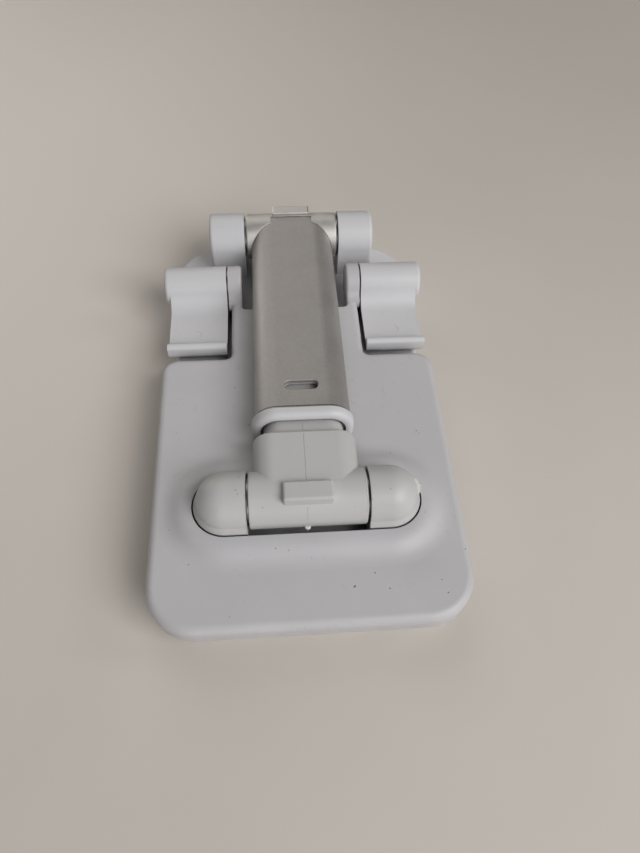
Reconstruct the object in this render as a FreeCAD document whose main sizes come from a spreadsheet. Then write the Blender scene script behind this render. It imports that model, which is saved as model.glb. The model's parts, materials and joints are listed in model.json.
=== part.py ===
import FreeCAD, Part
import math
import os
import re
import Sketcher

# A folding telescopic phone stand, stored folded flat on a table.
#
# Frame: +Z up, +X to the right, +Y towards the rear hinge. The origin lies under the middle of the
# folded stand, on the table. Inside each body, Y is measured from the front edge of the phone panel.
# Every length is in millimetres.

DIMENSIONS = {
    # the whole stand
    "overall_length": 115.25,
    "clearance": 0.05,
    # both cross hinges: the rear one carries the arm, the front one the phone panel
    "hinge_radius": 6.35,
    "hinge_height": 15.5,
    "rear_axis": 108.9,
    "front_axis": 26.5,
    "barrel_radius": 6.1,
    "barrel_half": 12.4,
    "cheek_inner": 12.9,
    "axle_radius": 2.0,
    "washer_radius": 4.8,
    "washer_play": 0.02,
    # base
    "base_half": 32.0,
    "base_front": 3.0,
    "base_rear": 114.0,
    "base_corner": 9.6,
    "base_rim": 0.6,
    "base_top": 6.5,
    "base_wall": 2.0,
    "base_roof": 1.5,
    "grip_thickness": 0.8,
    "cover_top": 2.0,
    "weight_thickness": 2.5,
    "ear_outer": 22.4,
    "ear_recess": 3.0,
    "ear_recess_radius": 3.7,
    "nut_radius": 3.5,
    "nut_height": 1.6,
    "boss_radius": 2.7,
    "stop_rib_half": 4.4,
    "stop_rib_top": 10.0,
    # arm tube and the parts in its ends
    "tube_half": 11.05,
    "tube_bottom": 12.5,
    "tube_top": 21.3,
    "tube_wall": 1.0,
    "tube_crown": 5.5,
    "tube_foot": 1.2,
    "tube_front": 46.0,
    "tube_rear": 109.9,
    "slot_place": 52.4,
    "slot_half": 2.65,
    "slot_radius": 1.2,
    "core_radius": 4.7,
    "rear_block_half": 5.0,
    "rear_block_height": 7.0,
    "plug_front": 96.0,
    "collar_half": 11.7,
    "collar_bottom": 12.25,
    "collar_top": 21.9,
    "collar_front": 43.3,
    "sleeve_rear": 56.0,
    # slider: barrel, neck and rod in one moulding
    "neck_half": 11.4,
    "neck_bottom": 14.3,
    "neck_top": 21.5,
    "neck_crown": 4.6,
    "neck_rear": 40.0,
    "rod_half": 9.0,
    "rod_top": 19.6,
    "rod_crown": 3.8,
    "rod_rear": 86.3,
    "shoe_rear": 94.3,
    "track_half": 4.1,
    "track_depth": 0.7,
    "tongue_half": 5.0,
    "tongue_length": 5.5,
    "tongue_middle": 16.75,
    "front_block_half": 5.25,
    "front_block_height": 7.3,
    # phone panel
    "panel_half": 34.0,
    "panel_corner": 10.5,
    "panel_underside": 6.8,
    "panel_split": 8.5,
    "panel_top": 12.0,
    "panel_roof": 1.6,
    "panel_edge": 1.8,
    "pad_recess": 0.5,
    "notch_front": 68.7,
    "notch_inner": 16.9,
    "yoke_front": 85.0,
    "yoke_corner": 1.1,
    "knuckle_inner": 14.0,
    "knuckle_outer": 17.6,
    "knuckle_crown": 0.8,
    # raised seat of the front hinge
    "mound_top": 14.0,
    "mound_run": 7.5,
    "rib_place": 10.2,
    "rib_half": 0.7,
    "seat_centre": 17.5,
    "seat_radius": 7.35,
    "skirt_radius": 7.0,
    # hooks
    "hook_axis": 93.5,
    "hook_height": 12.5,
    "hook_radius": 4.8,
    "hook_inner": 18.0,
    "hook_outer": 34.3,
    "hook_plate_outer": 33.0,
    "hook_floor": 10.0,
    "lip_front": 71.5,
    "lip_rear": 73.6,
    "mark_radius": 1.2,
    "mark_depth": 0.06,
    "hook_pin_radius": 1.5,
    "hook_pin_start": 14.75,
    "hook_pin_end": 31.0,
    # fasteners
    "screw_radius": 1.1,
    "screw_head_radius": 2.0,
    "screw_head": 0.6,
}

PLANES = {"Z": ("XY_Plane", 1), "X": ("YZ_Plane", 1), "Y": ("XZ_Plane", -1)}

document = FreeCAD.newDocument("PhoneStand")
sheet = document.addObject("Spreadsheet::Sheet", "Size")
for row, (alias, value) in enumerate(DIMENSIONS.items(), 1):
    sheet.set(f"A{row}", alias)
    sheet.set(f"B{row}", str(value))
    sheet.setAlias(f"B{row}", alias)
document.recompute()

nodes = []


# ---- formulas: plain text over the sheet's aliases ----------------------------------------------

def bound(formula):
    """The formula with each alias written as a cell of the sheet."""
    def cell(word):
        return f"Size.{word[0]}" if word[0] in DIMENSIONS else word[0]

    return re.sub(r"[a-z]\w*", cell, str(formula))


def number(formula):
    """The formula's present value."""
    return float(sheet.evalExpression(str(formula)))


def vector(across, up):
    return FreeCAD.Vector(number(across), number(up), 0)


# ---- outlines ------------------------------------------------------------------------------------

def rectangle(left, right, low, high):
    return [(left, low), (right, low), (right, high), (left, high)]


def rounded(left, right, low, high, lower_radius, upper_radius=None):
    """A rectangle with round corners, anticlockwise from its lower left side."""
    below = f"({lower_radius})"
    above = below if upper_radius is None else f"({upper_radius})"
    return [
        (f"{left} + {below}", low),
        (f"{right} - {below}", low, below),
        (right, f"{low} + {below}"),
        (right, f"{high} - {above}", above),
        (f"{right} - {above}", high),
        (f"{left} + {above}", high, above),
        (left, f"{high} - {above}"),
        (left, f"{low} + {below}", below),
    ]


def stadium(centre, half, radius):
    """Two straight sides along the first axis, with half-round ends drawn as quarter arcs."""
    return [
        (f"-({half})", f"{centre} - {radius}"),
        (half, f"{centre} - {radius}", radius),
        (f"{half} + {radius}", centre, radius),
        (half, f"{centre} + {radius}"),
        (f"-({half})", f"{centre} + {radius}", radius),
        (f"-({half}) - {radius}", centre, radius),
    ]


def mirrored(right_half):
    """The outline's right half, listed from front to rear, and its mirror image."""
    count = len(right_half)
    left_half = []
    for place in range(count - 1, -1, -1):
        corner = right_half[place]
        before = right_half[place - 1] if place else ()
        left_half.append((f"-({corner[0]})", corner[1]) + tuple(before[2:]))
    return right_half + left_half


def d_section(half, low, high, crown, foot="tube_foot"):
    """A D-shaped section: flat below, with big round upper corners."""
    return rounded(f"-({half})", half, low, high, foot, crown)


# ---- features ------------------------------------------------------------------------------------

def new_body(label):
    body = document.addObject("PartDesign::Body", label)
    body.Label = label
    body.setExpression("Placement.Base.y", bound("-overall_length / 2"))
    nodes.append(body)
    return body


def new_sketch(body, axis, level, origin=(0, 0)):
    """A sketch square to an axis of the body, at a level along it."""
    role, sense = PLANES[axis]
    plane = next(item for item in body.Origin.OriginFeatures if item.Role == role)
    sketch = body.newObject("Sketcher::SketchObject", f"{body.Label}_sketch")
    sketch.AttachmentSupport = [(plane, "")]
    sketch.MapMode = "FlatFace"
    sketch.setExpression("AttachmentOffset.Base.x", bound(origin[0]))
    sketch.setExpression("AttachmentOffset.Base.y", bound(origin[1]))
    sketch.setExpression("AttachmentOffset.Base.z", bound(f"{sense} * ({level})"))
    return sketch


def constrain(sketch, constraints):
    """Add (constraint, formula or None) pairs and bind each formula."""
    first = sketch.ConstraintCount
    sketch.addConstraint([constraint for constraint, formula in constraints])
    for place, (constraint, formula) in enumerate(constraints, first):
        if formula is not None:
            sketch.setExpression(f"Constraints[{place}]", bound(formula))


def arc_between(start, end, radius):
    """A short arc: it bulges to the right of its travel, or to the left with a negative radius."""
    chord = end - start
    across = FreeCAD.Vector(-chord.y, chord.x, 0).normalize()
    depth = math.sqrt(max(radius * radius - chord.Length ** 2 / 4, 0))
    centre = (start + end) / 2 + across * math.copysign(depth, radius)
    first, last = (start, end) if radius > 0 else (end, start)
    angles = [math.atan2(point.y - centre.y, point.x - centre.x) for point in (first, last)]
    circle = Part.Circle(centre, FreeCAD.Vector(0, 0, 1), abs(radius))
    return Part.ArcOfCircle(circle, angles[0], angles[1])


def draw(sketch, corners):
    """A closed outline. A corner's third value makes the side that leaves it an arc."""
    points = [vector(*corner[:2]) for corner in corners]
    ends = []
    constraints = []
    for place, corner in enumerate(corners):
        start = points[place]
        end = points[(place + 1) % len(points)]
        radius = number(corner[2]) if len(corner) > 2 else 0
        side = arc_between(start, end, radius) if radius else Part.LineSegment(start, end)
        geometry = sketch.addGeometry(side)
        ends.append((geometry, 2, 1) if radius < 0 else (geometry, 1, 2))
        if radius:
            size = Sketcher.Constraint("Radius", geometry, abs(radius))
            constraints.append((size, f"abs({corner[2]})"))
    for place, (geometry, start, end) in enumerate(ends):
        following, its_start, _ = ends[(place + 1) % len(ends)]
        constraints.append((Sketcher.Constraint("Coincident", geometry, end, following, its_start), None))
        across, up = corners[place][:2]
        point = points[place]
        constraints.append((Sketcher.Constraint("DistanceX", -1, 1, geometry, start, point.x), across))
        constraints.append((Sketcher.Constraint("DistanceY", -1, 1, geometry, start, point.y), up))
    constrain(sketch, constraints)


def draw_circle(sketch, across, up, radius):
    centre = vector(across, up)
    geometry = sketch.addGeometry(Part.Circle(centre, FreeCAD.Vector(0, 0, 1), number(radius)))
    constrain(sketch, [
        (Sketcher.Constraint("DistanceX", -1, 1, geometry, 3, centre.x), across),
        (Sketcher.Constraint("DistanceY", -1, 1, geometry, 3, centre.y), up),
        (Sketcher.Constraint("Radius", geometry, number(radius)), radius),
    ])


def settle(body, feature):
    """Recompute, and stop at once if the new feature failed."""
    document.recompute()
    if "Invalid" in feature.State or "Error" in feature.State or feature.Shape.isNull():
        raise RuntimeError(f"{feature.Name} of {body.Label} failed: {feature.State}")
    return feature


def extrude(body, kind, axis, start, end, outlines=(), circles=()):
    """Pad or pocket the outlines from one level to another along an axis."""
    towards_normal = (PLANES[axis][1] > 0) == (kind == "Pad")
    sketch = new_sketch(body, axis, start if towards_normal else end)
    for outline in outlines:
        draw(sketch, outline)
    for circle in circles:
        draw_circle(sketch, *circle)
    feature = body.newObject(f"PartDesign::{kind}", f"{body.Label}_{kind.lower()}")
    feature.Profile = sketch
    feature.setExpression("Length", bound(f"({end}) - ({start})"))
    return settle(body, feature)


def pad(body, axis, start, end, *outlines, circles=()):
    return extrude(body, "Pad", axis, start, end, outlines, circles)


def pocket(body, axis, start, end, *outlines, circles=()):
    previous = body.Tip.Shape.Volume
    feature = extrude(body, "Pocket", axis, start, end, outlines, circles)
    if feature.Shape.Volume >= previous:
        raise RuntimeError(f"a pocket of {body.Label} cuts nothing")
    return feature


def revolve(body, axis, level, origin, outline, about="H_Axis"):
    """Turn an outline a full turn about an axis of its sketch, whose origin is moved first."""
    sketch = new_sketch(body, axis, level, origin)
    draw(sketch, outline)
    feature = body.newObject("PartDesign::Revolution", f"{body.Label}_turning")
    feature.Profile = sketch
    feature.ReferenceAxis = (sketch, [about])
    feature.Angle = 360
    return settle(body, feature)


def edge_box(edge):
    box = edge.BoundBox
    return box.XMin, box.XMax, box.YMin, box.YMax, box.ZMin, box.ZMax


def near(value, formula):
    return abs(value - number(formula)) < 1e-4


def round_edges(body, radius, chosen):
    """Fillet the edges that the test picks by their bounding box."""
    tip = body.Tip
    names = [
        f"Edge{place}"
        for place, edge in enumerate(tip.Shape.Edges, 1)
        if chosen(*edge_box(edge))
    ]
    feature = body.newObject("PartDesign::Fillet", f"{body.Label}_rounding")
    feature.Base = (tip, names)
    feature.setExpression("Radius", bound(radius))
    return settle(body, feature)


def level_edges(body, radius, height):
    """Fillet every edge that lies flat at a height."""
    round_edges(body, radius, lambda x0, x1, y0, y1, z0, z1: near(z0, height) and near(z1, height))


def barrel_end(x0, x1, y0, y1, z0, z1):
    return near(x0, "barrel_half") or near(x1, "-barrel_half")


def both_sides(across):
    return [f"-({across})", across]


# ---- primitives for pins, washers and screws -----------------------------------------------------

def cylinder(label, radius, length, place, direction):
    """A round bar that starts at a place (X, Y from the panel's front edge, Z)."""
    bar = document.addObject("Part::Cylinder", label)
    bar.setExpression("Radius", bound(radius))
    bar.setExpression("Height", bound(length))
    turn = FreeCAD.Rotation(FreeCAD.Vector(0, 0, 1), direction)
    bar.Placement = FreeCAD.Placement(FreeCAD.Vector(), turn)
    bar.setExpression("Placement.Base.x", bound(place[0]))
    bar.setExpression("Placement.Base.y", bound(f"{place[1]} - overall_length / 2"))
    bar.setExpression("Placement.Base.z", bound(place[2]))
    return bar


def joined(label, pieces):
    fusion = document.addObject("Part::MultiFuse", label)
    fusion.Shapes = pieces
    return fusion


def group(label, pieces):
    """Identical separate pieces as one node."""
    compound = document.addObject("Part::Compound", label)
    compound.Links = pieces
    compound.Label = label
    nodes.append(compound)


def washer(label, outer, inner, start, length, axis_place, axis_height):
    """A flat ring across the stand, between two levels of X."""
    along = FreeCAD.Vector(1, 0, 0)
    place = (start, axis_place, axis_height)
    ring = document.addObject("Part::Cut", label)
    ring.Base = cylinder(f"{label}_disc", outer, length, place, along)
    ring.Tool = cylinder(f"{label}_hole", inner, length, place, along)
    return ring


def hinge_washers(label, axis_place):
    """One friction washer in each gap beside a hinge barrel."""
    length = "cheek_inner - barrel_half - 2 * washer_play"
    group(label, [
        washer(f"{label}_{place}", "washer_radius", "axle_radius + clearance", start, length,
               axis_place, "hinge_height")
        for place, start in enumerate(("-cheek_inner + washer_play", "barrel_half + washer_play"))
    ])


def mirror_of(source, label):
    """The left-hand copy of a right-hand piece."""
    copy = document.addObject("Part::Mirroring", label)
    copy.Source = source
    copy.Normal = FreeCAD.Vector(1, 0, 0)
    copy.Label = label
    nodes.append(copy)


def upward_screw(label, across, along, seat, length):
    """A flat-headed screw that points up, with its head's top at the seat."""
    up = FreeCAD.Vector(0, 0, 1)
    underside = (across, along, f"{seat} - screw_head")
    head = cylinder(f"{label}_head", "screw_head_radius", "screw_head", underside, up)
    drive = cylinder(f"{label}_drive", "screw_head_radius / 3", "screw_head / 2", underside, up)
    shank = cylinder(f"{label}_shank", "screw_radius", length, (across, along, seat), up)
    solid = joined(f"{label}_blank", [head, shank])
    screw = document.addObject("Part::Cut", label)
    screw.Base = solid
    screw.Tool = drive
    return screw


# ---- base ----------------------------------------------------------------------------------------

BASE_SCREWS = [(across, along) for across in both_sides(25) for along in (9.5, 107)]


def base_outline(inset):
    return rounded(
        f"-(base_half - {inset})", f"base_half - {inset}",
        f"base_front + {inset}", f"base_rear - {inset}", f"base_corner - {inset}")


def ear_outline():
    """Side view of an ear: a round head on a foot that sinks into the base."""
    rear = "rear_axis + hinge_radius"
    front = "rear_axis - hinge_radius"
    foot = "base_top - 1"
    return [
        (front, foot),
        ("base_rear - 0.2", foot),
        ("base_rear", "base_top"),
        (rear, "base_top + 3"),
        (rear, "hinge_height", "hinge_radius"),
        ("rear_axis", "hinge_height + hinge_radius", "hinge_radius"),
        (front, "hinge_height"),
    ]


def make_base_shell():
    """Inverted tray with two hinge ears, screw bosses and the arm's stop rib."""
    body = new_body("base_shell")
    pad(body, "Z", "base_rim", "base_top", base_outline(0))
    level_edges(body, 1.3, "base_top")
    pocket(body, "Z", "base_rim", "base_top - base_roof", base_outline("base_wall"))
    bosses = [(across, along, "boss_radius") for across, along in BASE_SCREWS]
    pad(body, "Z", "cover_top", "base_top - base_roof", circles=bosses)
    pilots = [(across, along, "screw_radius") for across, along in BASE_SCREWS]
    pocket(body, "Z", "cover_top", "base_top - base_roof", circles=pilots)
    pad(body, "X", "cheek_inner", "ear_outer", ear_outline())
    pad(body, "X", "-ear_outer", "-cheek_inner", ear_outline())

    def ear_rim(x0, x1, y0, y1, z0, z1):
        outer = any(near(x0, end) and near(x1, end) for end in both_sides("ear_outer"))
        return outer and z1 > number("stop_rib_top")

    round_edges(body, 0.9, ear_rim)
    stop_rib = rectangle("-stop_rib_half", "stop_rib_half", "base_top - 1", "stop_rib_top")
    pad(body, "Y", "base_rear - 1.4", "base_rear - 0.1", stop_rib)
    pocket(body, "X", "-ear_outer", "ear_outer", circles=[("rear_axis", "hinge_height", "axle_radius")])
    recess = [("rear_axis", "hinge_height", "ear_recess_radius")]
    pocket(body, "X", "ear_outer - ear_recess", "ear_outer", circles=recess)
    pocket(body, "X", "-ear_outer", "-(ear_outer - ear_recess)", circles=recess)


def make_base_inside():
    """Steel weight, screwed cover and silicone sole."""
    weight = new_body("base_weight_plate")
    weight_outline = rounded(-27, 27, 14, 101, 5)
    pad(weight, "Z", "cover_top + 0.1", "cover_top + 0.1 + weight_thickness", weight_outline)
    level_edges(weight, 0.3, "cover_top + 0.1")

    cover = new_body("base_bottom_cover")
    pad(cover, "Z", "grip_thickness", "cover_top", base_outline("(base_wall + 0.1)"))
    holes = [(across, along, "screw_radius + clearance") for across, along in BASE_SCREWS]
    pocket(cover, "Z", "grip_thickness", "cover_top", circles=holes)
    seats = [(across, along, "screw_head_radius + clearance") for across, along in BASE_SCREWS]
    pocket(cover, "Z", "grip_thickness", "grip_thickness + screw_head", circles=seats)

    sole = new_body("base_grip_pad")
    pad(sole, "Z", 0, "grip_thickness", base_outline(3.4))
    level_edges(sole, 0.3, 0)

    group("base_screws", [
        upward_screw(f"base_screw_{place}", across, along, "grip_thickness + screw_head", 3.2)
        for place, (across, along) in enumerate(BASE_SCREWS)
    ])


def make_rear_hinge_hardware():
    """Shoulder screw, nut, friction washers and the plugs that hide them."""
    along = FreeCAD.Vector(1, 0, 0)
    head_start = "-(ear_outer - ear_recess + nut_height)"
    axle = cylinder(
        "base_hinge_bolt_shank", "axle_radius - 0.01", "2 * (ear_outer - ear_recess) + 1.4",
        ("-(ear_outer - ear_recess)", "rear_axis", "hinge_height"), along)
    head = cylinder(
        "base_hinge_bolt_head", "nut_radius - 0.1", "nut_height",
        (head_start, "rear_axis", "hinge_height"), along)
    bolt = joined("base_hinge_bolt", [axle, head])
    bolt.Label = "base_hinge_bolt"
    nodes.append(bolt)

    nut = new_body("base_hinge_nut")
    corners = [
        (f"rear_axis + nut_radius * {math.cos(math.radians(60 * turn)):.6f}",
         f"hinge_height + nut_radius * {math.sin(math.radians(60 * turn)):.6f}")
        for turn in range(6)
    ]
    pad(nut, "X", "ear_outer - ear_recess", "ear_outer - ear_recess + nut_height", corners)
    pocket(nut, "X", "ear_outer - ear_recess", "ear_outer - ear_recess + nut_height",
           circles=[("rear_axis", "hinge_height", "axle_radius")])

    plugs = []
    for side, start in (("left", "-ear_outer + 0.1"), ("right", "ear_outer - 1.3")):
        plugs.append(cylinder(
            f"ear_plug_{side}", "ear_recess_radius - 0.02", 1.2, (start, "rear_axis", "hinge_height"), along))
    group("ear_plugs", plugs)

    hinge_washers("base_hinge_washers", "rear_axis")


# ---- arm -----------------------------------------------------------------------------------------

TUBE_SCREWS = (98.0, 101.5)


def tube_bore(inset):
    """The tube's inner section, drawn smaller by an inset."""
    gap = f"(tube_wall + {inset})"
    return d_section(
        f"tube_half - {gap}", f"tube_bottom + {gap}", f"tube_top - {gap}", f"tube_crown - {gap}", 0.5)


def tube_skin(outset):
    return d_section(
        f"tube_half + {outset}", f"tube_bottom - {outset}", f"tube_top + {outset}", f"tube_crown + {outset}")


def make_arm_tube():
    """D-shaped tube. At the rear only its crown reaches over the hinge barrel's core."""
    body = new_body("arm_tube")
    pad(body, "Y", "tube_front", "tube_rear", tube_skin(0), tube_bore(0))
    pocket(body, "Z", "tube_top - 2 * tube_wall", "tube_top + 1",
           stadium("slot_place", "slot_half", "slot_radius"))
    pocket(body, "Z", "tube_bottom - 1", "tube_bottom + tube_wall + 0.3",
           circles=[(0, along, "screw_head_radius + clearance") for along in TUBE_SCREWS])
    clear = "(core_radius + clearance)"
    pocket(body, "X", "-tube_half - 1", "tube_half + 1", [
        (f"rear_axis - {clear}", "tube_bottom - 1"),
        ("tube_rear + 1", "tube_bottom - 1"),
        ("tube_rear + 1", f"hinge_height + {clear}"),
        ("rear_axis", f"hinge_height + {clear}", clear),
        (f"rear_axis - {clear}", "hinge_height"),
    ])
    level_edges(body, 0.25, "tube_top")


def make_arm_lower_tee():
    """Die-cast cross barrel, let in for the tube's crown, with a plug for its bore and a stop block."""
    body = new_body("arm_lower_tee")
    pad(body, "X", "-barrel_half", "barrel_half", circles=[("rear_axis", "hinge_height", "barrel_radius")])
    round_edges(body, 0.35, barrel_end)
    front = "rear_axis - barrel_radius - 1"
    pocket(body, "Y", front, "tube_rear + clearance", tube_skin("clearance"))
    flat = "tube_half - tube_crown"
    pocket(body, "Y", front, "tube_rear + clearance",
           rectangle(f"-({flat})", flat, "tube_top - 1", "tube_top + 1"))
    pad(body, "X", "-(tube_half + clearance)", "tube_half + clearance",
        circles=[("rear_axis", "hinge_height", "core_radius")])
    pad(body, "Y", "plug_front", "rear_axis", tube_bore("clearance"))
    block_top = "hinge_height + rear_block_height"
    pad(body, "Y", "rear_axis + 1.1", "rear_axis + 4.1",
        rectangle("-rear_block_half", "rear_block_half", "hinge_height", block_top))
    level_edges(body, 0.4, block_top)
    bore = ("rear_axis", "hinge_height", "axle_radius + clearance")
    pocket(body, "X", "-barrel_half", "barrel_half", circles=[bore])
    pilots = [(0, along, "screw_radius") for along in TUBE_SCREWS]
    pocket(body, "Z", "tube_bottom", "tube_bottom + 4.5", circles=pilots)


def make_tube_collar():
    """Guide bush: a sleeve in the tube's mouth, slotted like the tube, with a rounded ring outside."""
    body = new_body("tube_end_collar")
    ring = d_section("collar_half", "collar_bottom", "collar_top", "tube_crown + 0.6")
    pad(body, "Y", "collar_front", "tube_front", ring)

    def outer_front(x0, x1, y0, y1, z0, z1):
        return near(y0, "collar_front") and near(y1, "collar_front")

    round_edges(body, 1.45, outer_front)
    round_edges(body, 0.35, lambda x0, x1, y0, y1, z0, z1: near(y0, "tube_front") and near(y1, "tube_front"))
    pad(body, "Y", "tube_front", "sleeve_rear", tube_bore("clearance"))
    passage = d_section("rod_half + 0.1", "neck_bottom - 0.1", "rod_top + 0.1", "rod_crown + 0.1", 0.7)
    pocket(body, "Y", "collar_front", "sleeve_rear", passage)
    mouth = d_section("rod_half + 0.75", "neck_bottom - 0.6", "rod_top + 0.75", "rod_crown + 0.75", 0.9)
    pocket(body, "Y", "collar_front", "collar_front + 0.9", mouth)
    pocket(body, "Z", "rod_top", "tube_top", stadium("slot_place", "slot_half", "slot_radius"))


def make_tube_screws():
    group("tube_screws", [
        upward_screw(f"tube_screw_{place}", 0, along, "tube_bottom + tube_wall + clearance", 3.4)
        for place, along in enumerate(TUBE_SCREWS)
    ])


# ---- slider --------------------------------------------------------------------------------------

def make_slider_tee():
    """Front barrel, neck and telescoping rod in one moulding; a shallow track runs along the rod."""
    body = new_body("slider_tee")
    pad(body, "X", "-barrel_half", "barrel_half", circles=[("front_axis", "hinge_height", "barrel_radius")])
    round_edges(body, 0.25, barrel_end)
    neck = d_section("neck_half", "neck_bottom", "neck_top", "neck_crown", 0.8)
    pad(body, "Y", "front_axis", "neck_rear", neck)
    round_edges(body, 0.7, lambda x0, x1, y0, y1, z0, z1: near(y0, "neck_rear") and near(y1, "neck_rear"))
    rod = d_section("rod_half", "neck_bottom", "rod_top", "rod_crown", 0.7)
    pad(body, "Y", "neck_rear - 2", "rod_rear", rod)
    track = rectangle("-track_half", "track_half", "tube_front + 1", "rod_rear - 4")
    pocket(body, "Z", "rod_top - track_depth", "rod_top + 1", track)
    tongue = rectangle("-tongue_half", "tongue_half", "tongue_middle - 1.45", "tongue_middle + 1.45")
    pad(body, "Y", "rod_rear", "rod_rear + tongue_length", tongue)
    block_top = "hinge_height + front_block_height"
    block = rounded("-front_block_half", "front_block_half", "front_axis - 3.85", "front_axis + 0.55", 0.5)
    pad(body, "Z", "hinge_height", block_top, block)
    level_edges(body, 0.6, block_top)
    bore = ("front_axis", "hinge_height", "axle_radius + clearance")
    pocket(body, "X", "-barrel_half", "barrel_half", circles=[bore])
    pocket(body, "Y", "rod_rear", "rod_rear + tongue_length", circles=[(0, "tongue_middle", "screw_radius")])


def make_slider_shoe():
    """Nylon shoe on the rod's inner end, with its brake spring and screw."""
    body = new_body("slider_guide_shoe")
    pad(body, "Y", "rod_rear", "shoe_rear", tube_bore(0.08))
    socket = rectangle("-tongue_half - clearance", "tongue_half + clearance",
                       "tongue_middle - 1.5", "tongue_middle + 1.5")
    floor = "rod_rear + tongue_length + 0.1"
    pocket(body, "Y", "rod_rear", floor, socket)
    recess = rectangle(-4, 4, "rod_rear + 0.6", "rod_rear + 7.4")
    pocket(body, "Z", "rod_top - 0.5", "tube_top", recess)
    pocket(body, "Y", floor, "shoe_rear", circles=[(0, "tongue_middle", "screw_radius + clearance")])
    pocket(body, "Y", "shoe_rear - 0.8", "shoe_rear", circles=[(0, "tongue_middle", "screw_head_radius")])

    rear = FreeCAD.Vector(0, -1, 0)
    head = cylinder(
        "shoe_screw_head", "screw_head_radius - 0.05", 0.7, (0, "shoe_rear - 0.1", "tongue_middle"), rear)
    shank = cylinder(
        "shoe_screw_shank", "screw_radius - 0.01", 6, (0, "shoe_rear - 0.8", "tongue_middle"), rear)
    screw = joined("shoe_screw", [head, shank])
    screw.Label = "shoe_screw"
    nodes.append(screw)

    spring = new_body("slide_brake_spring")
    low = "rod_top - 0.45"
    peak = "tube_top - tube_wall - 0.03"
    middle = "rod_rear + 4"
    bow = 10.5
    thick = 0.3
    pad(spring, "X", -3.6, 3.6, [
        (f"{middle} - 3", low),
        (middle, f"{peak} - {thick}", f"-{bow}"),
        (f"{middle} + 3", low),
        (f"{middle} + 3", f"{low} + {thick}"),
        (middle, peak),
        (f"{middle} - 3", f"{low} + {thick}"),
    ])


# ---- phone panel ---------------------------------------------------------------------------------

PANEL_SCREWS = [(across, along) for across in both_sides(24) for along in (11, 58)]
DOME_SCREWS = [(across, "front_axis") for across in both_sides("seat_centre")]


def panel_outline(strip_end, strip_inner):
    """Plan of the panel: round front corners, a notch for each hook and a forked rear strip."""
    return mirrored([
        ("panel_half - panel_corner", 0, "panel_corner"),
        ("panel_half", "panel_corner"),
        ("panel_half", "notch_front - 4", 4),
        ("panel_half - 4", "notch_front"),
        ("notch_inner + 1.6", "notch_front", "-1.6"),
        ("notch_inner", "notch_front + 1.6"),
        ("notch_inner", strip_end),
        (strip_inner, strip_end),
        (strip_inner, "yoke_front + yoke_corner", "-yoke_corner"),
        (f"{strip_inner} - yoke_corner", "yoke_front"),
    ])


def knuckle_outline():
    """Side view of a knuckle: a round head whose front sweeps down into the panel."""
    sweep = 2.5
    rise = f"(panel_top + {sweep} - hook_height)"
    reach = f"sqrt((hook_radius + {sweep})^2 - {rise}^2)"
    share = f"hook_radius / (hook_radius + {sweep})"
    return [
        (f"hook_axis - {reach}", "panel_split + 1"),
        ("hook_axis - 2", "panel_split + 1"),
        ("hook_axis - 2", "hook_height - hook_radius"),
        ("hook_axis", "hook_height - hook_radius", "hook_radius"),
        ("hook_axis + hook_radius", "hook_height", "hook_radius"),
        ("hook_axis", "hook_height + hook_radius", "hook_radius"),
        (f"hook_axis - {reach} * {share}", f"hook_height + {rise} * {share}", f"-{sweep}"),
        (f"hook_axis - {reach}", "panel_top"),
    ]


def mound_profile():
    """Half of the seat's section: a hollow foot that runs smoothly into a round shoulder."""
    low = "panel_top - 1.5"
    rise = "(mound_top - panel_top)"
    bend = f"((mound_run^2 + {rise}^2) / (4 * {rise}))"
    return low, [
        (0, low),
        ("seat_radius + mound_run", low),
        ("seat_radius + mound_run", "panel_top", f"-{bend}"),
        ("seat_radius + mound_run / 2", f"panel_top + {rise} / 2", bend),
        ("seat_radius", "mound_top"),
        (0, "mound_top"),
    ]


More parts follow.
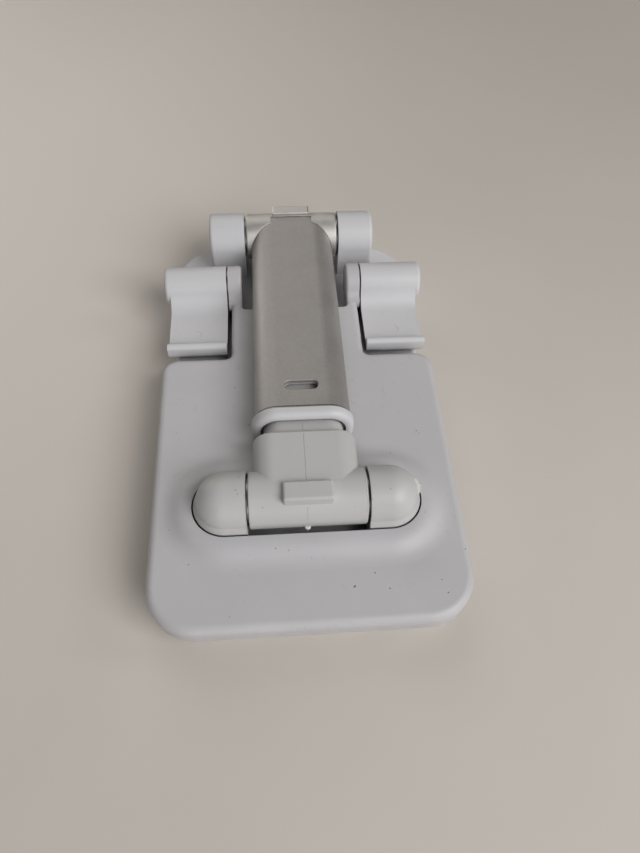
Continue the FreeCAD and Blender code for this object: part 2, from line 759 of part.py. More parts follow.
def make_panel_back_shell():
    body = new_body("panel_back_shell")
    pad(body, "Z", "panel_split", "panel_top", panel_outline("hook_axis", "knuckle_inner"))

    def outer_rim(x0, x1, y0, y1, z0, z1):
        return near(z0, "panel_top") and near(z1, "panel_top") and near(y0, 0) and near(y1, 0)

    round_edges(body, "panel_edge", outer_rim)
    low, profile = mound_profile()
    whole = [(f"front_axis + {corner[0]}",) + tuple(corner[1:]) for corner in profile[1:5]]
    for place in (4, 3, 2, 1):
        before = profile[place - 1][2:] if place > 1 else ()
        whole.append((f"front_axis - ({profile[place][0]})", profile[place][1]) + tuple(before))
    pad(body, "X", "-seat_centre", "seat_centre", whole)
    for centre in both_sides("seat_centre"):
        revolve(body, "Y", "front_axis", (centre, 0), profile, "V_Axis")
    pad(body, "X", "knuckle_inner", "knuckle_outer", knuckle_outline())
    pad(body, "X", "-knuckle_outer", "-knuckle_inner", knuckle_outline())

    def yoke_rim(x0, x1, y0, y1, z0, z1):
        """The fork's upper edge: along its root, round its corners and over both knuckles."""
        root = near(y0, "yoke_front") and near(y1, "yoke_front")
        side = any(near(x0, face) and near(x1, face) for face in both_sides("knuckle_inner"))
        return (root and near(z0, "panel_top")) or (side and z1 > number("panel_top") - 1e-3)

    round_edges(body, "knuckle_crown", yoke_rim)
    roof = "panel_top - panel_roof"
    pocket(body, "Z", "panel_split", roof, rounded(-31.8, 31.8, 43, 66.2, 3))
    pocket(body, "Z", "panel_split", roof, rounded(-14.4, 14.4, 68, 82.5, 2))
    bosses = [(across, along, "boss_radius") for across, along in PANEL_SCREWS[1::2]]
    pad(body, "Z", "panel_split", roof, circles=bosses)
    pilots = [(across, along, "screw_radius") for across, along in PANEL_SCREWS]
    pocket(body, "Z", "panel_split", "panel_split + 2.4", circles=pilots)
    pocket(body, "Z", "panel_split", "mound_top + 1", stadium("front_axis", "seat_centre", "seat_radius"))
    pins = [("hook_axis", "hook_height", "hook_pin_radius")]
    pocket(body, "X", "hook_pin_start - clearance", "knuckle_outer", circles=pins)
    pocket(body, "X", "-knuckle_outer", "-(hook_pin_start - clearance)", circles=pins)


def make_panel_front():
    """Cover on the phone's side, its silicone pad and the screws under the pad."""
    plate = new_body("panel_front_plate")
    pad(plate, "Z", "panel_underside", "panel_split", panel_outline(88.4, "knuckle_inner"))
    recess_top = "panel_underside + pad_recess"
    pocket(plate, "Z", "panel_underside", recess_top, rounded(-29, 29, 6, 64, 6))
    screws = PANEL_SCREWS + DOME_SCREWS
    pocket(plate, "Z", recess_top, "panel_split",
           circles=[(across, along, "screw_radius + clearance") for across, along in screws])
    pocket(plate, "Z", recess_top, f"{recess_top} + screw_head",
           circles=[(across, along, "screw_head_radius + clearance") for across, along in screws])
    rib_front = "front_axis - seat_radius + clearance"
    ribs = [
        rectangle(f"{centre} - rib_half", f"{centre} + rib_half", rib_front, f"{rib_front} + 1")
        for centre in both_sides("rib_place")
    ]
    pad(plate, "Z", "panel_split", "panel_split + 2.2", *ribs)

    grip = new_body("panel_grip_pad")
    pad(grip, "Z", "panel_underside - 0.05", recess_top, rounded(-28.9, 28.9, 6.1, 63.9, 5.9))

    group("panel_screws", [
        upward_screw(f"panel_screw_{place}", across, along, f"{recess_top} + screw_head", 2.9)
        for place, (across, along) in enumerate(screws)
    ])


def make_front_hinge():
    """Two domed cheeks screwed to the panel, with the axle and friction washers between them."""
    dome = new_body("hinge_dome_right")
    end = "(seat_centre - cheek_inner)"
    revolve(dome, "Z", "hinge_height", ("cheek_inner", "front_axis"), [
        (0, 0),
        (f"{end} + hinge_radius", 0, "hinge_radius"),
        (end, "hinge_radius"),
        (0, "hinge_radius"),
    ])

    def footprint(radius):
        return [
            ("cheek_inner", f"front_axis - {radius}"),
            ("seat_centre", f"front_axis - {radius}", radius),
            (f"seat_centre + {radius}", "front_axis", radius),
            ("seat_centre", f"front_axis + {radius}"),
            ("cheek_inner", f"front_axis + {radius}"),
        ]

    skirt_top = "mound_top + 0.15"
    lower = new_sketch(dome, "Z", skirt_top)
    draw(lower, footprint("skirt_radius"))
    upper = new_sketch(dome, "Z", "hinge_height + 0.6")
    draw(upper, footprint("(hinge_radius - 0.2)"))
    flare = dome.newObject("PartDesign::AdditiveLoft", "dome_flare")
    flare.Profile = lower
    flare.Sections = [upper]
    flare.Ruled = True
    settle(dome, flare)
    pad(dome, "Z", "panel_split + clearance", skirt_top, footprint("skirt_radius"))
    pocket(dome, "X", "cheek_inner", 20.1, circles=[("front_axis", "hinge_height", "axle_radius + 0.01")])
    pilot = ("seat_centre", "front_axis", "screw_radius + 0.01")
    pocket(dome, "Z", "panel_split", "panel_split + 2.6", circles=[pilot])
    mirror_of(dome, "hinge_dome_left")

    along = FreeCAD.Vector(1, 0, 0)
    axle = cylinder("panel_hinge_axle", "axle_radius", 40, (-20, "front_axis", "hinge_height"), along)
    nodes.append(axle)
    hinge_washers("panel_hinge_washers", "front_axis")


# ---- hooks ---------------------------------------------------------------------------------------

def hook_outline():
    """Side view of a hook's plate: it dips from the barrel to a flat floor and ends in a raised lip."""
    sweep = 5
    rise = f"(hook_floor + {sweep} - hook_height)"
    reach = f"sqrt((hook_radius + {sweep})^2 - {rise}^2)"
    share = f"hook_radius / (hook_radius + {sweep})"
    under = "hook_height - hook_radius"
    hollow = 1.6
    crest = "((lip_rear - lip_front) / 2)"
    return [
        ("lip_front + 2", under),
        ("hook_axis", under),
        ("hook_axis", "hook_height"),
        (f"hook_axis - {reach} * {share}", f"hook_height + {rise} * {share}", f"-{sweep}"),
        (f"hook_axis - {reach}", "hook_floor"),
        (f"lip_rear + {hollow}", "hook_floor", f"-{hollow}"),
        ("lip_rear", f"hook_floor + {hollow}", crest),
        (f"lip_rear - {crest}", f"hook_floor + {hollow} + {crest}", crest),
        ("lip_front", f"hook_floor + {hollow}"),
        ("lip_front", f"{under} + 2", 2),
    ]


def make_hooks():
    body = new_body("hook_right")
    pad(body, "X", "hook_inner", "hook_outer", circles=[("hook_axis", "hook_height", "hook_radius")])
    round_edges(body, 0.9, lambda x0, x1, y0, y1, z0, z1: near(x0, "hook_outer") and near(x1, "hook_outer"))
    pad(body, "X", "hook_inner", "hook_plate_outer", hook_outline())
    bore = ("hook_axis", "hook_height", "hook_pin_radius + clearance")
    pocket(body, "X", "hook_inner", "hook_pin_end + 0.1", circles=[bore])
    pocket(body, "Z", "hook_floor - mark_depth", "hook_floor", circles=[(26, 78, "mark_radius")])
    mirror_of(body, "hook_left")

    along = FreeCAD.Vector(1, 0, 0)
    pins = []
    for side, start in (("left", "-hook_pin_end"), ("right", "hook_pin_start")):
        pins.append(cylinder(
            f"hook_pin_{side}", "hook_pin_radius - 0.01", "hook_pin_end - hook_pin_start",
            (start, "hook_axis", "hook_height"), along))
    group("hook_pins", pins)
    group("hook_washers", [
        washer(f"hook_washer_{place}", 3.8, "hook_pin_radius + 0.01", start, 0.3, "hook_axis", "hook_height")
        for place, start in enumerate(("-(knuckle_outer + 0.35)", "knuckle_outer + 0.05"))
    ])


def main():
    make_base_shell()
    make_base_inside()
    make_rear_hinge_hardware()
    make_arm_tube()
    make_arm_lower_tee()
    make_tube_collar()
    make_tube_screws()
    make_slider_tee()
    make_slider_shoe()
    make_panel_back_shell()
    make_panel_front()
    make_front_hinge()
    make_hooks()
    document.recompute()
    for item in document.Objects:
        if "Invalid" in item.State or "Error" in item.State:
            raise RuntimeError(f"{item.Label} failed: {item.State}")
    os.makedirs("parts", exist_ok=True)
    for node in nodes:
        if node.Shape.isNull() or not node.Shape.isValid():
            raise RuntimeError(f"{node.Label} has no valid shape")
        node.Shape.exportStep(f"parts/{node.Label}.step")
        print(node.Label, len(node.Shape.Solids), round(node.Shape.Volume, 1))


main()
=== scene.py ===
import json
import math
import random
import bmesh
import bpy
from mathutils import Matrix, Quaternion, Vector
from mathutils.bvhtree import BVHTree


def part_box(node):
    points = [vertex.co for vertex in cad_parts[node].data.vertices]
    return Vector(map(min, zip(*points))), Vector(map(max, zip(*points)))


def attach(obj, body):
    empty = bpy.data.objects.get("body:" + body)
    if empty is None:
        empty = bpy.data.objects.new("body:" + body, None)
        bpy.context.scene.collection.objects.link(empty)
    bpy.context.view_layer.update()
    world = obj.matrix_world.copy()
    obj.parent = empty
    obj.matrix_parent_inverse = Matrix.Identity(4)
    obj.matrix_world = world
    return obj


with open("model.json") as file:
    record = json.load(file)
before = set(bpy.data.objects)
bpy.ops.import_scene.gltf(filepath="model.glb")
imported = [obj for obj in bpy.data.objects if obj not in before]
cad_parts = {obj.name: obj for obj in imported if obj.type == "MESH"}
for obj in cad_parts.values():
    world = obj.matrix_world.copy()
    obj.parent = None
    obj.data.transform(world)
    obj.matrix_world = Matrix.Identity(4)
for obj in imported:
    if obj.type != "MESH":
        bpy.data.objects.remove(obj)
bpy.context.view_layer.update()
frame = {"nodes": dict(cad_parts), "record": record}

# The stand lies folded on a pale table, seen from above its front edge as the photograph shows it.
# Everything is in metres, in the model's own frame, unless a comment says millimetres.

NODES = frame["nodes"]
MM = 0.001


# ---- camera and light ----------------------------------------------------------------------------

# The photograph's camera, as the fit of the outline and the hinges gave it.
CAMERA_PLACE = Vector((-5.08, -91.995, 138.97)) * MM
CAMERA_TURN = math.radians(6.485)
CAMERA_DIP = math.radians(57.27)
CAMERA_LEAN = math.radians(3.134)
CAMERA_LENS = 27.01
SENSOR_WIDTH = 36
CLIP_START = 5 * MM

DAYLIGHT = (1.0, 0.99, 0.985)
WARM_LIGHT = (1.0, 0.955, 0.90)
WALL_LIGHT = (1.0, 0.98, 0.95)
MODEL_ORIGIN = Vector((0, 0, 0))

# Square lamps aimed at the model's origin: name, place, side, power in watts, colour.
LAMPS = (
    ("window", (0.65, -0.65, 0.8), 0.8, 10.9, DAYLIGHT),
    ("front_light", (-0.15, -1.0, 0.28), 0.5, 1.4, DAYLIGHT),
    ("side_light", (1.2, 0.1, 0.8), 0.35, 1.4, DAYLIGHT),
    ("rear_light", (-0.25, 0.9, 0.9), 1.0, 3.5, WARM_LIGHT),
    ("wall_light", (-0.9, 0, 0.8), 1.0, 0.4, WALL_LIGHT),
    ("reflector", (-0.8, 0.84, 0.27), 0.6, 2.7, WALL_LIGHT),
)
ROOM_COLOUR = (0.80, 0.79, 0.78, 1)
ROOM_STRENGTH = 0.03


def make_camera():
    """A phone's wide lens, held close above the front edge and turned a little to the right."""
    forward = Vector((
        math.sin(CAMERA_TURN) * math.cos(CAMERA_DIP),
        math.cos(CAMERA_TURN) * math.cos(CAMERA_DIP),
        -math.sin(CAMERA_DIP),
    ))
    lean = Quaternion((0, 0, 1), CAMERA_LEAN)
    data = bpy.data.cameras.new("camera")
    data.sensor_width = SENSOR_WIDTH
    data.lens = CAMERA_LENS
    data.clip_start = CLIP_START
    camera = bpy.data.objects.new("camera", data)
    camera.rotation_mode = "QUATERNION"
    camera.location = CAMERA_PLACE
    camera.rotation_quaternion = forward.to_track_quat("-Z", "Y") @ lean
    bpy.context.scene.collection.objects.link(camera)
    bpy.context.scene.camera = camera


def area_light(name, place, side, power, colour):
    data = bpy.data.lights.new(name, "AREA")
    data.shape = "RECTANGLE"
    data.size = data.size_y = side
    data.energy = power
    data.color = colour
    lamp = bpy.data.objects.new(name, data)
    lamp.location = place
    lamp.rotation_mode = "QUATERNION"
    lamp.rotation_quaternion = (MODEL_ORIGIN - Vector(place)).to_track_quat("-Z", "Y")
    bpy.context.scene.collection.objects.link(lamp)
    return lamp


def make_light():
    """Soft daylight from the front right, the front and the right, warm light from behind.

    A pale wall on the left lifts the shadows. The reflector is seen only in sheens.
    """
    lamps = {name: area_light(name, *settings) for name, *settings in LAMPS}
    lamps["reflector"].visible_diffuse = False
    world = bpy.data.worlds.new("room")
    world.use_nodes = True
    sky = world.node_tree.nodes["Background"]
    sky.inputs["Color"].default_value = ROOM_COLOUR
    sky.inputs["Strength"].default_value = ROOM_STRENGTH
    bpy.context.scene.world = world
    bpy.context.scene.view_settings.view_transform = "Standard"


# ---- materials -----------------------------------------------------------------------------------

# The colour mix node's sockets have to be found by number, since several share a name.
MIX_SHARE, MIX_FIRST, MIX_SECOND, MIX_RESULT = 0, 6, 7, 2

DIRT_SPECK = (0.20, 0.17, 0.14)
SMUDGE = (0.42, 0.35, 0.29)
# Near blacks for the painted shade in the gaps and corners of plastic and of metal.
PLASTIC_GAP_SHADE = (0.02, 0.019, 0.02)
METAL_GAP_SHADE = (0.06, 0.05, 0.045)


class Recipe:
    """A procedural material under construction, in object coordinates."""

    def __init__(self, name):
        self.material = bpy.data.materials.new(name)
        self.material.use_nodes = True
        self.tree = self.material.node_tree
        self.shader = self.tree.nodes["Principled BSDF"]
        self.place = self.add("ShaderNodeTexCoord").outputs["Object"]

    def add(self, kind, **settings):
        node = self.tree.nodes.new(kind)
        for name, value in settings.items():
            setattr(node, name, value)
        return node

    def link(self, source, target):
        self.tree.links.new(source, target)

    def noise(self, size, detail=3.0, roughness=0.5, stretch=(1, 1, 1)):
        """Cloudy noise whose blobs are about that many millimetres across."""
        mapping = self.add("ShaderNodeMapping")
        mapping.inputs["Scale"].default_value = [1000.0 / size / part for part in stretch]
        self.link(self.place, mapping.inputs["Vector"])
        cloud = self.add("ShaderNodeTexNoise")
        cloud.inputs["Scale"].default_value = 1.0
        cloud.inputs["Detail"].default_value = detail
        cloud.inputs["Roughness"].default_value = roughness
        self.link(mapping.outputs["Vector"], cloud.inputs["Vector"])
        return cloud.outputs["Fac"]

    def spread(self, source, values=(0, 1), levels=(0.3, 0.7)):
        """A value that goes from the first to the second as the source does so in its levels."""
        node = self.add("ShaderNodeMapRange")
        node.inputs["From Min"].default_value, node.inputs["From Max"].default_value = levels
        node.inputs["To Min"].default_value, node.inputs["To Max"].default_value = values
        self.link(source, node.inputs["Value"])
        return node.outputs["Result"]

    def crevice_shade(self, shade_reach, levels):
        """The mask of painted shade: 1 where surfaces within that many millimetres close in on a
        place, 0 in the open.
        """
        shade = self.add("ShaderNodeAmbientOcclusion", samples=6)
        shade.inputs["Distance"].default_value = shade_reach * MM
        return self.spread(shade.outputs["AO"], values=(1, 0), levels=levels)

    def along(self, direction, levels):
        """0 to 1 between two distances in a direction."""
        slope = self.add("ShaderNodeVectorMath", operation="DOT_PRODUCT")
        slope.inputs[1].default_value = direction
        self.link(self.place, slope.inputs[0])
        return self.spread(slope.outputs["Value"], levels=levels)

    def mix(self, share, first, second):
        """A colour between two others; each is a colour or a socket."""
        node = self.add("ShaderNodeMix", data_type="RGBA")
        for value, number in ((first, MIX_FIRST), (second, MIX_SECOND)):
            if isinstance(value, tuple):
                node.inputs[number].default_value = (*value, 1)
            else:
                self.link(value, node.inputs[number])
        self.link(share, node.inputs[MIX_SHARE])
        return node.outputs[MIX_RESULT]

    def bumps(self, layers, rounding=None):
        """Stack (height socket, depth in millimetres) layers on an optional rounded-edge normal."""
        normal = None
        if rounding:
            bevel = self.add("ShaderNodeBevel", samples=4)
            bevel.inputs["Radius"].default_value = rounding * MM
            normal = bevel.outputs["Normal"]
        for height, depth in layers:
            bump = self.add("ShaderNodeBump")
            bump.inputs["Strength"].default_value = 1.0
            bump.inputs["Distance"].default_value = depth * MM
            self.link(height, bump.inputs["Height"])
            if normal:
                self.link(normal, bump.inputs["Normal"])
            normal = bump.outputs["Normal"]
        self.link(normal, self.shader.inputs["Normal"])

    def set(self, **values):
        for name, value in values.items():
            socket = self.shader.inputs[name.replace("_", " ")]
            if isinstance(value, bpy.types.NodeSocket):
                self.link(value, socket)
            elif isinstance(value, tuple):
                socket.default_value = (*value, 1)
            else:
                socket.default_value = value


def moulded_plastic(name, colour, shade, rough, grain, specks=0.0, shade_reach=1.7):
    """Injection-moulded plastic: faint clouds, a spark-eroded grain, dirt specks and painted shade
    in its gaps.

    The grain's depth and the reach of the painted gap shade are in millimetres.
    """
    recipe = Recipe(name)
    cloud = recipe.noise(size=14, detail=4)
    tone = recipe.mix(recipe.spread(cloud), shade, colour)
    if specks:
        fine = recipe.noise(size=0.8, detail=2)
        dots = recipe.spread(fine, values=(0, specks), levels=(0.74, 0.80))
        tone = recipe.mix(dots, tone, DIRT_SPECK)
        smudges = recipe.noise(size=3.5, detail=4, roughness=0.6)
        blots = recipe.spread(smudges, values=(0, 0.3), levels=(0.62, 0.80))
        tone = recipe.mix(blots, tone, SMUDGE)
    # Painted shade: gaps and corners darken towards near black.
    tone = recipe.mix(recipe.crevice_shade(shade_reach, levels=(0.08, 0.36)), tone, PLASTIC_GAP_SHADE)
    grain_noise = recipe.noise(size=0.22, detail=2)
    wave = recipe.noise(size=9, detail=2)
    patches = recipe.noise(size=5, detail=3)
    roughness = recipe.spread(patches, values=(rough - 0.05, rough + 0.06))
    recipe.set(Base_Color=tone, Roughness=roughness, IOR=1.5)
    recipe.bumps([(wave, 0.02), (grain_noise, grain)], rounding=0.25)
    return recipe.material


def blasted_aluminium(name, colour, shade, pit_colour):
    """Bead-blasted, anodised aluminium with fine pits and traces of drawing along its length."""
    recipe = Recipe(name)
    cloud = recipe.noise(size=6, detail=4)
    tone = recipe.mix(recipe.spread(cloud), shade, colour)
    pits = recipe.noise(size=0.22, detail=2, roughness=0.7)
    tone = recipe.mix(recipe.spread(pits, values=(0, 0.55), levels=(0.45, 0.75)), tone, pit_colour)
    # Painted shade in the metal's gaps and corners.
    tone = recipe.mix(recipe.crevice_shade(shade_reach=1.2, levels=(0.2, 0.62)), tone, METAL_GAP_SHADE)
    grain = recipe.noise(size=0.2, detail=2)
    draw = recipe.noise(size=1.2, detail=3, stretch=(1, 30, 1))
    roughness = recipe.spread(cloud, values=(0.46, 0.54))
    recipe.set(Base_Color=tone, Metallic=0.55, Roughness=roughness)
    recipe.bumps([(draw, 0.004), (grain, 0.035)], rounding=0.15)
    return recipe.material


def cast_metal(name, colour, rough):
    """Plated or bare metal with soft clouds and a fine skin."""
    recipe = Recipe(name)
    cloud = recipe.noise(size=2.5, detail=5)
    shade = tuple(0.88 * part for part in colour)
    tone = recipe.mix(recipe.spread(cloud), shade, colour)
    fine = recipe.noise(size=0.3, detail=3)
    roughness = recipe.spread(cloud, values=(rough - 0.06, rough + 0.08))
    recipe.set(Base_Color=tone, Metallic=1.0, Roughness=roughness)
    recipe.bumps([(fine, 0.008)], rounding=0.2)
    return recipe.material


def silicone(name, colour, shade):
    """Dull rubber, for the sole and the pads."""
    recipe = Recipe(name)
    cloud = recipe.noise(size=10, detail=4)
    tone = recipe.mix(recipe.spread(cloud), shade, colour)
    recipe.set(Base_Color=tone, Roughness=recipe.spread(cloud, values=(0.72, 0.84)))
    recipe.bumps([(recipe.noise(size=0.5, detail=3), 0.02)], rounding=0.2)
    return recipe.material


# The look of every material slot, then of the marks. Grain and the reach of painted gap shade are
# in millimetres.
LOOKS = {
    "white_matte_plastic": (moulded_plastic, {
        "colour": (0.592, 0.587, 0.604), "shade": (0.562, 0.557, 0.574),
        "rough": 0.46, "grain": 0.010, "specks": 0.8, "shade_reach": 5.0}),
    # A lighter copy of the matte plastic: painted light on the hooks, the base and the collar.
    "painted_light_matte_plastic": (moulded_plastic, {
        "colour": (0.70, 0.70, 0.72), "shade": (0.67, 0.67, 0.69),
        "rough": 0.46, "grain": 0.010, "specks": 0.4, "shade_reach": 5.0}),
    "white_satin_plastic": (moulded_plastic, {
        "colour": (0.59, 0.582, 0.58), "shade": (0.56, 0.552, 0.55),
        "rough": 0.42, "grain": 0.006, "specks": 0.5}),
    "satin_aluminium": (blasted_aluminium, {
        "colour": (0.45, 0.430, 0.411), "shade": (0.40, 0.382, 0.364),
        "pit_colour": (0.20, 0.19, 0.18)}),
    "silver_cast_metal": (cast_metal, {"colour": (0.72, 0.70, 0.675), "rough": 0.56}),
    "steel": (cast_metal, {"colour": (0.45, 0.45, 0.46), "rough": 0.35}),
    "silicone_grey": (silicone, {"colour": (0.56, 0.56, 0.57), "shade": (0.48, 0.48, 0.49)}),
    # Painted shade: the near-black line round the tube's mouth.
    "painted_mouth_shade": (moulded_plastic, {
        "colour": (0.16, 0.13, 0.11), "shade": (0.10, 0.08, 0.07), "rough": 0.5, "grain": 0.02}),
    # A whiter plastic for torn flash and the gate stub; on the rims beside the front hinge's gaps
    # it is a painted highlight.
    "torn_plastic_and_highlight": (moulded_plastic, {
        "colour": (0.86, 0.85, 0.82), "shade": (0.80, 0.79, 0.76), "rough": 0.45, "grain": 0.01}),
    "nylon": (moulded_plastic, {
        "colour": (0.62, 0.60, 0.55), "shade": (0.58, 0.56, 0.52), "rough": 0.5, "grain": 0.01}),
    "dust": (moulded_plastic, {
        "colour": (0.17, 0.14, 0.12), "shade": (0.10, 0.085, 0.075), "rough": 0.8, "grain": 0.02}),
}
PAINTED_LIGHT_NODES = ("hook_left", "hook_right", "base_shell", "tube_end_collar")


def paint_nodes(finishes):
    """Each node's slot finish, with a lighter copy of the matte plastic, painted light, for the
    hooks, the base and the collar.
    """
    slots = {entry["node"]: entry["material_slot"] for entry in frame["record"]["subparts"]}
    for name, node in NODES.items():
        finish = finishes["painted_light_matte_plastic" if name in PAINTED_LIGHT_NODES else slots[name]]
        if not node.material_slots:
            node.data.materials.append(finish)
        for place in node.material_slots:
            place.material = finish


# ---- tools for the marks -------------------------------------------------------------------------

RAY_START = 20 * MM
DOWN = Vector((0, 0, -1))
FLASH_RISE = 0.30


def surface(node):
    """A search tree over a CAD node's faces."""
    mesh = NODES[node].data
    return BVHTree.FromPolygons(
        [vertex.co.copy() for vertex in mesh.vertices],
        [list(face.vertices) for face in mesh.polygons])


def joint_axis(name):
    joints = frame["record"]["behaviour"]["joints"]
    return Vector(next(entry for entry in joints if entry["name"] == name)["pos_m"])


def round_x(turn):
    """The way out from the x axis at a turn, from the rear up."""
    return Vector((0, math.cos(turn), math.sin(turn)))


def round_y(turn):
    """The way out from the y axis at a turn, from the right up."""
    return Vector((math.cos(turn), 0, math.sin(turn)))


def round_dome(turn):
    """The way out from a dome's centre at a turn, from the right to the rear and a little up."""
    return Vector((math.cos(turn), math.sin(turn), FLASH_RISE)).normalized()


def hits_round(tree, centre, outward_at, first, last, count, distance=RAY_START):
    """(point, normal) hits of rays sent in to a centre, at even turns between two in degrees."""
    hits = []
    for step in range(count):
        outward = outward_at(math.radians(first + (last - first) * step / (count - 1)))
        point, normal, _, _ = tree.ray_cast(centre + outward * distance, -outward)
        hits.append((point, normal))
    return hits


def hits_below(tree, across, above, front, rear, count):
    """(point, normal) hits of rays sent down from evenly spaced places between two on y."""
    hits = []
    for step in range(count):
        along = front + (rear - front) * step / (count - 1)
        point, normal, _, _ = tree.ray_cast(Vector((across, along, above)), DOWN)
        hits.append((point, normal))
    return hits


def add_piece(name, mesh, body, slot, finishes, look=None):
    """A piece of a material slot that rides a body; its look is the slot's finish unless named."""
    data = bpy.data.meshes.new(name)
    mesh.to_mesh(data)
    mesh.free()
    data.materials.append(finishes[look or slot])
    piece = bpy.data.objects.new(name, data)
    bpy.context.scene.collection.objects.link(piece)
    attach(piece, body)


def add_ridge(mesh, hits, width, height, dice, swell=None):
    """A thin, slightly uneven raised line over a row of (point, normal) hits.

    The swell gives the height's share at each place along the line, from 0 to 1.
    """
    rings = []
    for place, (point, normal) in enumerate(hits):
        ahead = hits[min(place + 1, len(hits) - 1)][0] - hits[max(place - 1, 0)][0]
        side = ahead.cross(normal).normalized()
        half = width / 2 * dice.uniform(0.75, 1.15)
        top = height * dice.uniform(0.7, 1.1)
        if swell:
            top *= swell(place / (len(hits) - 1))
        foot = point - normal * height * 0.6
        rings.append([
            mesh.verts.new(foot - side * half),
            mesh.verts.new(point - side * half * 0.5 + normal * top),
            mesh.verts.new(point + side * half * 0.5 + normal * top),
            mesh.verts.new(foot + side * half),
        ])
    for first, second in zip(rings, rings[1:]):
        for place in range(4):
            following = (place + 1) % 4
            mesh.faces.new((first[place], first[following], second[following], second[place]))
    mesh.faces.new(rings[0][::-1])
    mesh.faces.new(rings[-1])
    bmesh.ops.recalc_face_normals(mesh, faces=mesh.faces)


def add_crumb(mesh, point, normal, radius, height, dice):
    """An uneven little lump that sits on a surface."""
    lump = bmesh.ops.create_icosphere(mesh, subdivisions=2, radius=1.0)["verts"]
    side = normal.orthogonal().normalized()
    other = normal.cross(side)
    stretch = dice.uniform(0.7, 1.3)
    for vertex in lump:
        swell = dice.uniform(0.82, 1.15)
        across, along, up = (part * swell for part in vertex.co)
        vertex.co = (point + side * across * radius * stretch + other * along * radius / stretch
                     + normal * (up * height + height * 0.3))


# ---- marks: parting line, gate stub, flash and painted rim highlight, painted mouth shade, dust ---

def make_parting_lines(finishes):
    """The mould's parting line down the middle of the slider, and the stub of its gate."""
    dice = random.Random(7)
    tree = surface("slider_tee")
    axis = joint_axis("panel_tilt")
    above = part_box("slider_tee")[1][2] + 10 * MM
    collar_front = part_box("tube_end_collar")[0][1]
    neck_rear = axis.y + 13.4 * MM
    across = -0.25 * MM
    margin, rod_margin = 0.9 * MM, 0.3 * MM
    on_neck = hits_below(tree, across, above, axis.y + margin, neck_rear - margin, count=24)
    on_rod = hits_below(
        tree, across, above, neck_rear + rod_margin, collar_front - rod_margin, count=8)
    on_barrel = hits_round(
        tree, Vector((across, axis.y, axis.z)), round_x, first=134, last=200, count=16)
    mesh = bmesh.new()
    add_ridge(mesh, on_neck, width=0.11 * MM, height=0.028 * MM, dice=dice)
    add_ridge(mesh, on_rod, width=0.10 * MM, height=0.025 * MM, dice=dice)
    add_ridge(mesh, on_barrel, width=0.11 * MM, height=0.025 * MM, dice=dice)
    add_piece("slider_parting_line", mesh, "slider", "white_satin_plastic", finishes)

    mesh = bmesh.new()
    point, normal = on_barrel[-2]
    add_crumb(mesh, point, normal, radius=0.72 * MM, height=0.6 * MM, dice=dice)
    tip = point + Vector((0.18, 0, 0)) * MM + normal * 0.35 * MM
    add_crumb(mesh, tip, normal, radius=0.28 * MM, height=0.24 * MM, dice=dice)
    add_piece("slider_gate_stub", mesh, "slider", "white_satin_plastic", finishes, "torn_plastic_and_highlight")


def make_dome_flash(finishes):
    """A torn sliver of flash where the right dome's mould halves met."""
    dice = random.Random(11)
    cap_centre = 4.7 * MM
    centre = joint_axis("panel_tilt")
    centre.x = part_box("hinge_dome_right")[0][0] + cap_centre
    hits = hits_round(
        surface("hinge_dome_right"), centre, round_dome, first=-12, last=26, count=18)
    mesh = bmesh.new()
    add_ridge(mesh, hits, width=0.2 * MM, height=0.8 * MM, dice=dice,
              swell=lambda share: math.sin(math.pi * share) ** 0.6)
    add_piece("dome_flash", mesh, "panel", "white_satin_plastic", finishes, "torn_plastic_and_highlight")


def make_rim_flash(finishes):
    """Thin flash left on the rims beside the two gaps of the front hinge, in a whiter plastic that
    paints a highlight along them.
    """
    dice = random.Random(5)
    axis = joint_axis("panel_tilt")
    rims = (
        ("hinge_dome_left", "panel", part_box("hinge_dome_left")[1][0] - 0.12 * MM),
        ("slider_tee", "slider", axis.x + 12.1 * MM),
    )
    for node, body, across in rims:
        centre = Vector((across, axis.y, axis.z))
        hits = hits_round(surface(node), centre, round_x, first=78, last=213, count=40)
        mesh = bmesh.new()
        add_ridge(mesh, hits, width=0.14 * MM, height=0.05 * MM, dice=dice)
        add_piece(f"{node}_rim_flash_and_highlight", mesh, body, "white_satin_plastic", finishes, "torn_plastic_and_highlight")


def make_tube_mouth_shade(finishes):
    """A thin near-black ridge round the tube's mouth: painted shade where the tube meets the
    collar.
    """
    dice = random.Random(3)
    from_mouth = 0.55 * MM
    low, high = (Vector(corner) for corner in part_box("arm_tube"))
    centre = Vector(((low.x + high.x) / 2, low.y + from_mouth, low.z + 0.4 * (high.z - low.z)))
    hits = hits_round(
        surface("arm_tube"), centre, round_y, first=-12, last=192, count=60, distance=30 * MM)
    mesh = bmesh.new()
    add_ridge(mesh, hits, width=0.3 * MM, height=0.02 * MM, dice=dice)
    add_piece("tube_mouth_shade", mesh, "arm", "satin_aluminium", finishes, "painted_mouth_shade")


# Where dust lies: node, body, how many crumbs, their usual radius in millimetres.
DUSTY_PLACES = (
    ("panel_back_shell", "panel", 34, 0.13),
    ("hinge_dome_left", "panel", 4, 0.11),
    ("hinge_dome_right", "panel", 3, 0.10),
    ("slider_tee", "slider", 4, 0.10),
)
STEEPEST_DUSTY = 0.6


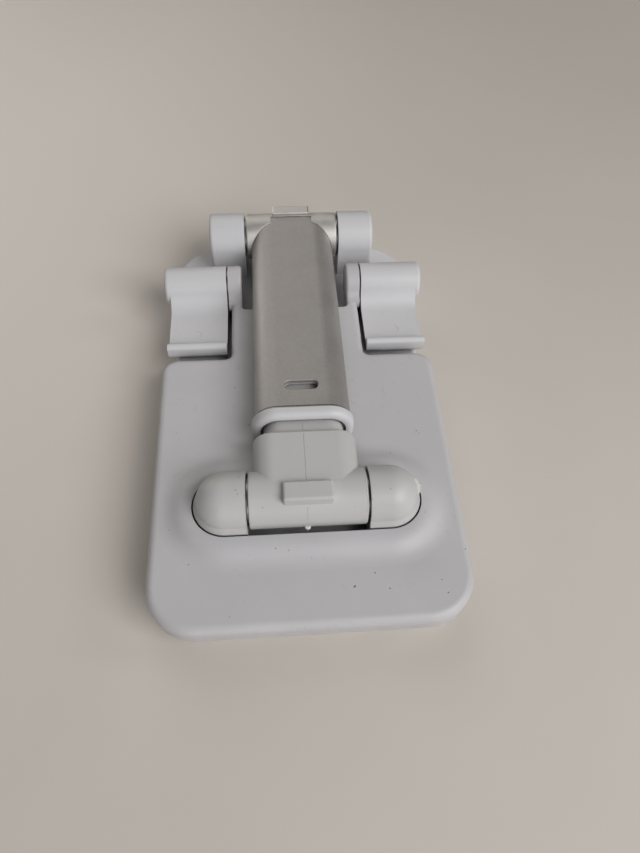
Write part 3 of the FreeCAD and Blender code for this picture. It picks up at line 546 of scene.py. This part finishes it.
def make_dust(finishes):
    """Crumbs of dark dust on the panel, the domes and the slider."""
    dice = random.Random(23)
    for node, body, count, size in DUSTY_PLACES:
        tree = surface(node)
        low, high = (Vector(corner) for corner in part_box(node))
        above = high.z + 10 * MM
        mesh = bmesh.new()
        placed = 0
        while placed < count:
            start = Vector((dice.uniform(low.x, high.x), dice.uniform(low.y, high.y), above))
            point, normal, _, _ = tree.ray_cast(start, DOWN)
            if point is None or normal.z < STEEPEST_DUSTY:
                continue
            radius = size * dice.uniform(0.5, 1.1) * MM
            add_crumb(mesh, point, normal, radius, height=0.05 * MM, dice=dice)
            placed += 1
        add_piece(f"{node}_dust", mesh, body, "dust", finishes)


# ---- table and sizes -----------------------------------------------------------------------------

TABLE_SIDE = 4
# The laminate's tones; the left one is painted light and the right one painted shade.
TABLE_TONES_AND_PAINTED_LIGHT = {
    "middle": (0.698, 0.652, 0.600), "cloud": (0.668, 0.622, 0.569),
    "left": (0.82, 0.763, 0.70), "right": (0.60, 0.555, 0.505),
}


def make_table():
    """A pale laminate table top, with painted light to the left and painted shade to the rear
    right.
    """
    bpy.ops.mesh.primitive_plane_add(size=TABLE_SIDE, location=MODEL_ORIGIN)
    top = bpy.context.object
    top.name = "table_top"
    recipe = Recipe("table_laminate_and_painted_light")
    cloud = recipe.noise(size=60, detail=4)
    tone = recipe.mix(recipe.spread(cloud), TABLE_TONES_AND_PAINTED_LIGHT["cloud"], TABLE_TONES_AND_PAINTED_LIGHT["middle"])
    # Painted light towards the left and painted shade towards the rear right.
    painted_light_leftward = recipe.along((-1, 0.6, 0), levels=(0.01, 0.16))
    tone = recipe.mix(painted_light_leftward, tone, TABLE_TONES_AND_PAINTED_LIGHT["left"])
    painted_shade_rightward = recipe.along((0.8, 0.6, 0), levels=(0.03, 0.2))
    tone = recipe.mix(painted_shade_rightward, tone, TABLE_TONES_AND_PAINTED_LIGHT["right"])
    recipe.set(Base_Color=tone, Roughness=recipe.spread(cloud, values=(0.5, 0.58)))
    recipe.bumps([(recipe.noise(size=0.9, detail=3), 0.01)])
    top.data.materials.append(recipe.material)


make_camera()
make_light()
make_table()
FINISHES = {name: build(name, **look) for name, (build, look) in LOOKS.items()}
paint_nodes(FINISHES)
make_parting_lines(FINISHES)
make_dome_flash(FINISHES)
make_rim_flash(FINISHES)
make_tube_mouth_shade(FINISHES)
make_dust(FINISHES)
